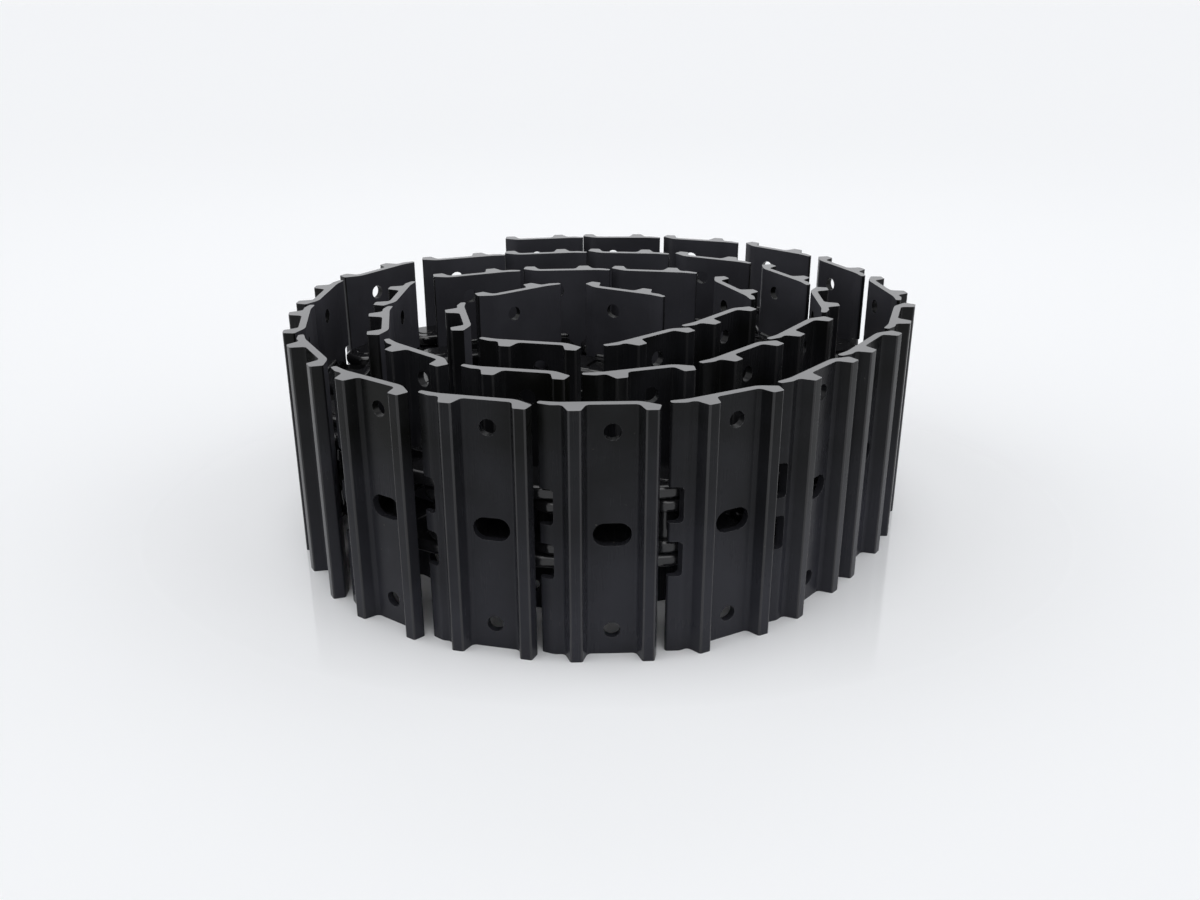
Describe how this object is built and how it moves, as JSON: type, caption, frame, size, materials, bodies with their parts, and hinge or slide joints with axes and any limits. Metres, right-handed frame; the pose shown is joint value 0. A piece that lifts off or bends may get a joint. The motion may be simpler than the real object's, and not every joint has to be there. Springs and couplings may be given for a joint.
{
  "type": "track chain",
  "caption": "Coiled steel crawler track: double-grouser shoes welded to pinned offset links, lying on its side, open at both ends.",
  "frame": {"origin": "middle of the coil's outline in plan, on the surface that it lies on", "axes": "+Z across the track, along the pins, and up as the coil lies; the camera of the picture looks along +Y with +X to its right"},
  "size_m": [0.6918, 0.691, 0.25],
  "materials": {
    "track_paint": "satin black paint over rolled and forged steel"
  },
  "bodies": {
    "unit_01": {"shoe_01": "track_paint", "link_set_01": "track_paint"},
    "unit_02": {"shoe_02": "track_paint", "link_set_02": "track_paint"},
    "unit_03": {"shoe_03": "track_paint", "link_set_03": "track_paint"},
    "unit_04": {"shoe_04": "track_paint", "link_set_04": "track_paint"},
    "unit_05": {"shoe_05": "track_paint", "link_set_05": "track_paint"},
    "unit_06": {"shoe_06": "track_paint", "link_set_06": "track_paint"},
    "unit_07": {"shoe_07": "track_paint", "link_set_07": "track_paint"},
    "unit_08": {"shoe_08": "track_paint", "link_set_08": "track_paint"},
    "unit_09": {"shoe_09": "track_paint", "link_set_09": "track_paint"},
    "unit_10": {"shoe_10": "track_paint", "link_set_10": "track_paint"},
    "unit_11": {"shoe_11": "track_paint", "link_set_11": "track_paint"},
    "unit_12": {"shoe_12": "track_paint", "link_set_12": "track_paint"},
    "unit_13": {"shoe_13": "track_paint", "link_set_13": "track_paint"},
    "unit_14": {"shoe_14": "track_paint", "link_set_14": "track_paint"},
    "unit_15": {"shoe_15": "track_paint", "link_set_15": "track_paint"},
    "unit_16": {"shoe_16": "track_paint", "link_set_16": "track_paint"},
    "unit_17": {"shoe_17": "track_paint", "link_set_17": "track_paint"},
    "unit_18": {"shoe_18": "track_paint", "link_set_18": "track_paint"},
    "unit_19": {"shoe_19": "track_paint", "link_set_19": "track_paint"},
    "unit_20": {"shoe_20": "track_paint", "link_set_20": "track_paint"},
    "unit_21": {"track_unit_21": "track_paint"},
    "unit_22": {"track_unit_22": "track_paint"},
    "unit_23": {"track_unit_23": "track_paint"},
    "unit_24": {"track_unit_24": "track_paint"},
    "unit_25": {"track_unit_25": "track_paint"},
    "unit_26": {"track_unit_26": "track_paint"},
    "unit_27": {"track_unit_27": "track_paint"},
    "unit_28": {"track_unit_28": "track_paint"},
    "unit_29": {"track_unit_29": "track_paint"},
    "unit_30": {"track_unit_30": "track_paint"},
    "unit_31": {"track_unit_31": "track_paint"},
    "unit_32": {"track_unit_32": "track_paint"},
    "unit_33": {"track_unit_33": "track_paint"},
    "unit_34": {"track_unit_34": "track_paint"},
    "unit_35": {"track_unit_35": "track_paint"},
    "unit_36": {"track_unit_36": "track_paint"},
    "unit_37": {"track_unit_37": "track_paint"},
    "unit_38": {"track_unit_38": "track_paint"},
    "unit_39": {"track_unit_39": "track_paint"},
    "unit_40": {"track_unit_40": "track_paint"}
  },
  "joints": [
    {"name": "pin_joint_01", "type": "hinge", "parent": "unit_02", "child": "unit_01", "pos_m": [-0.0401, 0.29601, 0.125], "axis": [0, 0, -1], "range_deg": [0, 10]},
    {"name": "pin_joint_02", "type": "hinge", "parent": "unit_03", "child": "unit_02", "pos_m": [0.0615, 0.29601, 0.125], "axis": [0, 0, -1], "range_deg": [0, 16]},
    {"name": "pin_joint_03", "type": "hinge", "parent": "unit_04", "child": "unit_03", "pos_m": [0.15916, 0.268, 0.125], "axis": [0, 0, -1], "range_deg": [0, 24]},
    {"name": "pin_joint_04", "type": "hinge", "parent": "unit_05", "child": "unit_04", "pos_m": [0.23699, 0.2027, 0.125], "axis": [0, 0, -1], "range_deg": [0, 24]},
    {"name": "pin_joint_05", "type": "hinge", "parent": "unit_06", "child": "unit_05", "pos_m": [0.28153, 0.11138, 0.125], "axis": [0, 0, -1], "range_deg": [0, 16]},
    {"name": "pin_joint_06", "type": "hinge", "parent": "unit_07", "child": "unit_06", "pos_m": [0.29917, 0.01132, 0.125], "axis": [0, 0, -1], "range_deg": [0, 28]},
    {"name": "pin_joint_07", "type": "hinge", "parent": "unit_08", "child": "unit_07", "pos_m": [0.26778, -0.0853, 0.125], "axis": [0, 0, -1], "range_deg": [0, 17]},
    {"name": "pin_joint_08", "type": "hinge", "parent": "unit_09", "child": "unit_08", "pos_m": [0.2095, -0.16853, 0.125], "axis": [0, 0, -1], "range_deg": [0, 6]},
    {"name": "pin_joint_09", "type": "hinge", "parent": "unit_10", "child": "unit_09", "pos_m": [0.14285, -0.24521, 0.125], "axis": [0, 0, -1], "range_deg": [0, 21]},
    {"name": "pin_joint_10", "type": "hinge", "parent": "unit_11", "child": "unit_10", "pos_m": [0.05314, -0.29291, 0.125], "axis": [0, 0, -1], "range_deg": [0, 26]},
    {"name": "pin_joint_11", "type": "hinge", "parent": "unit_12", "child": "unit_11", "pos_m": [-0.0484, -0.29645, 0.125], "axis": [0, 0, -1], "range_deg": [0, 15]},
    {"name": "pin_joint_12", "type": "hinge", "parent": "unit_13", "child": "unit_12", "pos_m": [-0.1474, -0.2736, 0.125], "axis": [0, 0, -1], "range_deg": [0, 22]},
    {"name": "pin_joint_13", "type": "hinge", "parent": "unit_14", "child": "unit_13", "pos_m": [-0.23062, -0.21532, 0.125], "axis": [0, 0, -1], "range_deg": [0, 25]},
    {"name": "pin_joint_14", "type": "hinge", "parent": "unit_15", "child": "unit_14", "pos_m": [-0.28142, -0.12733, 0.125], "axis": [0, 0, -1], "range_deg": [0, 21]},
    {"name": "pin_joint_15", "type": "hinge", "parent": "unit_16", "child": "unit_15", "pos_m": [-0.29731, -0.02698, 0.125], "axis": [0, 0, -1], "range_deg": [0, 13]},
    {"name": "pin_joint_16", "type": "hinge", "parent": "unit_17", "child": "unit_16", "pos_m": [-0.29023, 0.07437, 0.125], "axis": [0, 0, -1], "range_deg": [0, 32]},
    {"name": "pin_joint_17", "type": "hinge", "parent": "unit_18", "child": "unit_17", "pos_m": [-0.23051, 0.15657, 0.125], "axis": [0, 0, -1], "range_deg": [0, 34]},
    {"name": "pin_joint_18", "type": "hinge", "parent": "unit_19", "child": "unit_18", "pos_m": [-0.13504, 0.19131, 0.125], "axis": [0, 0, -1], "range_deg": [0, 11]},
    {"name": "pin_joint_19", "type": "hinge", "parent": "unit_20", "child": "unit_19", "pos_m": [-0.03469, 0.20721, 0.125], "axis": [0, 0, -1], "range_deg": [0, 13]},
    {"name": "pin_joint_20", "type": "hinge", "parent": "unit_21", "child": "unit_20", "pos_m": [0.06667, 0.20012, 0.125], "axis": [0, 0, -1], "range_deg": [0, 21]},
    {"name": "pin_joint_21", "type": "hinge", "parent": "unit_22", "child": "unit_21", "pos_m": [0.15875, 0.15718, 0.125], "axis": [0, 0, -1], "range_deg": [0, 36]},
    {"name": "pin_joint_22", "type": "hinge", "parent": "unit_22", "child": "unit_23", "pos_m": [0.208, 0.06832, 0.125], "axis": [0, 0, 1], "range_deg": [0, 29]},
    {"name": "pin_joint_23", "type": "hinge", "parent": "unit_23", "child": "unit_24", "pos_m": [0.208, -0.03328, 0.125], "axis": [0, 0, 1], "range_deg": [0, 36]},
    {"name": "pin_joint_24", "type": "hinge", "parent": "unit_24", "child": "unit_25", "pos_m": [0.14828, -0.11547, 0.125], "axis": [0, 0, 1], "range_deg": [0, 8]},
    {"name": "pin_joint_25", "type": "hinge", "parent": "unit_25", "child": "unit_26", "pos_m": [0.07771, -0.18856, 0.125], "axis": [0, 0, 1], "range_deg": [0, 28]},
    {"name": "pin_joint_26", "type": "hinge", "parent": "unit_26", "child": "unit_27", "pos_m": [-0.01892, -0.21996, 0.125], "axis": [0, 0, 1], "range_deg": [0, 29]},
    {"name": "pin_joint_27", "type": "hinge", "parent": "unit_27", "child": "unit_28", "pos_m": [-0.11865, -0.20057, 0.125], "axis": [0, 0, 1], "range_deg": [0, 31]},
    {"name": "pin_joint_28", "type": "hinge", "parent": "unit_28", "child": "unit_29", "pos_m": [-0.19416, -0.13259, 0.125], "axis": [0, 0, 1], "range_deg": [0, 39]},
    {"name": "pin_joint_29", "type": "hinge", "parent": "unit_29", "child": "unit_30", "pos_m": [-0.21005, -0.03224, 0.125], "axis": [0, 0, 1], "range_deg": [0, 13]},
    {"name": "pin_joint_30", "type": "hinge", "parent": "unit_30", "child": "unit_31", "pos_m": [-0.20296, 0.06911, 0.125], "axis": [0, 0, 1], "range_deg": [0, 64]},
    {"name": "pin_joint_31", "type": "hinge", "parent": "unit_31", "child": "unit_32", "pos_m": [-0.10876, 0.10718, 0.125], "axis": [0, 0, 1], "range_deg": [0, 18]},
    {"name": "pin_joint_32", "type": "hinge", "parent": "unit_32", "child": "unit_33", "pos_m": [-0.00741, 0.11426, 0.125], "axis": [0, 0, 1], "range_deg": [0, 12]},
    {"name": "pin_joint_33", "type": "hinge", "parent": "unit_33", "child": "unit_34", "pos_m": [0.0932, 0.10012, 0.125], "axis": [0, 0, 1], "range_deg": [0, 58]},
    {"name": "pin_joint_34", "type": "hinge", "parent": "unit_34", "child": "unit_35", "pos_m": [0.13453, 0.00731, 0.125], "axis": [0, 0, 1], "range_deg": [0, 65]},
    {"name": "pin_joint_35", "type": "hinge", "parent": "unit_35", "child": "unit_36", "pos_m": [0.06787, -0.06937, 0.125], "axis": [0, 0, 1], "range_deg": [0, 9]},
    {"name": "pin_joint_36", "type": "hinge", "parent": "unit_36", "child": "unit_37", "pos_m": [-0.00996, -0.13468, 0.125], "axis": [0, 0, 1], "range_deg": [0, 51]},
    {"name": "pin_joint_37", "type": "hinge", "parent": "unit_37", "child": "unit_38", "pos_m": [-0.10969, -0.11529, 0.125], "axis": [0, 0, 1], "range_deg": [0, 67]},
    {"name": "pin_joint_38", "type": "hinge", "parent": "unit_38", "child": "unit_39", "pos_m": [-0.13082, -0.01591, 0.125], "axis": [0, 0, 1], "range_deg": [0, 65]},
    {"name": "pin_joint_39", "type": "hinge", "parent": "unit_39", "child": "unit_40", "pos_m": [-0.04968, 0.04523, 0.125], "axis": [0, 0, 1], "range_deg": [0, 64]}
  ],
  "couplings": [
    {"joint": "pin_joint_01", "follows": "pin_joint_25", "ratio": 0.35714},
    {"joint": "pin_joint_02", "follows": "pin_joint_25", "ratio": 0.57143},
    {"joint": "pin_joint_03", "follows": "pin_joint_25", "ratio": 0.85714},
    {"joint": "pin_joint_04", "follows": "pin_joint_25", "ratio": 0.85714},
    {"joint": "pin_joint_05", "follows": "pin_joint_25", "ratio": 0.57143},
    {"joint": "pin_joint_06", "follows": "pin_joint_25", "ratio": 1},
    {"joint": "pin_joint_07", "follows": "pin_joint_25", "ratio": 0.60714},
    {"joint": "pin_joint_08", "follows": "pin_joint_25", "ratio": 0.21429},
    {"joint": "pin_joint_09", "follows": "pin_joint_25", "ratio": 0.75},
    {"joint": "pin_joint_10", "follows": "pin_joint_25", "ratio": 0.92857},
    {"joint": "pin_joint_11", "follows": "pin_joint_25", "ratio": 0.53571},
    {"joint": "pin_joint_12", "follows": "pin_joint_25", "ratio": 0.78571},
    {"joint": "pin_joint_13", "follows": "pin_joint_25", "ratio": 0.89286},
    {"joint": "pin_joint_14", "follows": "pin_joint_25", "ratio": 0.75},
    {"joint": "pin_joint_15", "follows": "pin_joint_25", "ratio": 0.46429},
    {"joint": "pin_joint_16", "follows": "pin_joint_25", "ratio": 1.1429},
    {"joint": "pin_joint_17", "follows": "pin_joint_25", "ratio": 1.2143},
    {"joint": "pin_joint_18", "follows": "pin_joint_25", "ratio": 0.39286},
    {"joint": "pin_joint_19", "follows": "pin_joint_25", "ratio": 0.46429},
    {"joint": "pin_joint_20", "follows": "pin_joint_25", "ratio": 0.75},
    {"joint": "pin_joint_21", "follows": "pin_joint_25", "ratio": 1.2857},
    {"joint": "pin_joint_22", "follows": "pin_joint_25", "ratio": 1.0357},
    {"joint": "pin_joint_23", "follows": "pin_joint_25", "ratio": 1.2857},
    {"joint": "pin_joint_24", "follows": "pin_joint_25", "ratio": 0.28571},
    {"joint": "pin_joint_26", "follows": "pin_joint_25", "ratio": 1.0357},
    {"joint": "pin_joint_27", "follows": "pin_joint_25", "ratio": 1.1071},
    {"joint": "pin_joint_28", "follows": "pin_joint_25", "ratio": 1.3929},
    {"joint": "pin_joint_29", "follows": "pin_joint_25", "ratio": 0.46429},
    {"joint": "pin_joint_30", "follows": "pin_joint_25", "ratio": 2.2857},
    {"joint": "pin_joint_31", "follows": "pin_joint_25", "ratio": 0.64286},
    {"joint": "pin_joint_32", "follows": "pin_joint_25", "ratio": 0.42857},
    {"joint": "pin_joint_33", "follows": "pin_joint_25", "ratio": 2.0714},
    {"joint": "pin_joint_34", "follows": "pin_joint_25", "ratio": 2.3214},
    {"joint": "pin_joint_35", "follows": "pin_joint_25", "ratio": 0.32143},
    {"joint": "pin_joint_36", "follows": "pin_joint_25", "ratio": 1.8214},
    {"joint": "pin_joint_37", "follows": "pin_joint_25", "ratio": 2.3929},
    {"joint": "pin_joint_38", "follows": "pin_joint_25", "ratio": 2.3214},
    {"joint": "pin_joint_39", "follows": "pin_joint_25", "ratio": 2.2857}
  ]
}
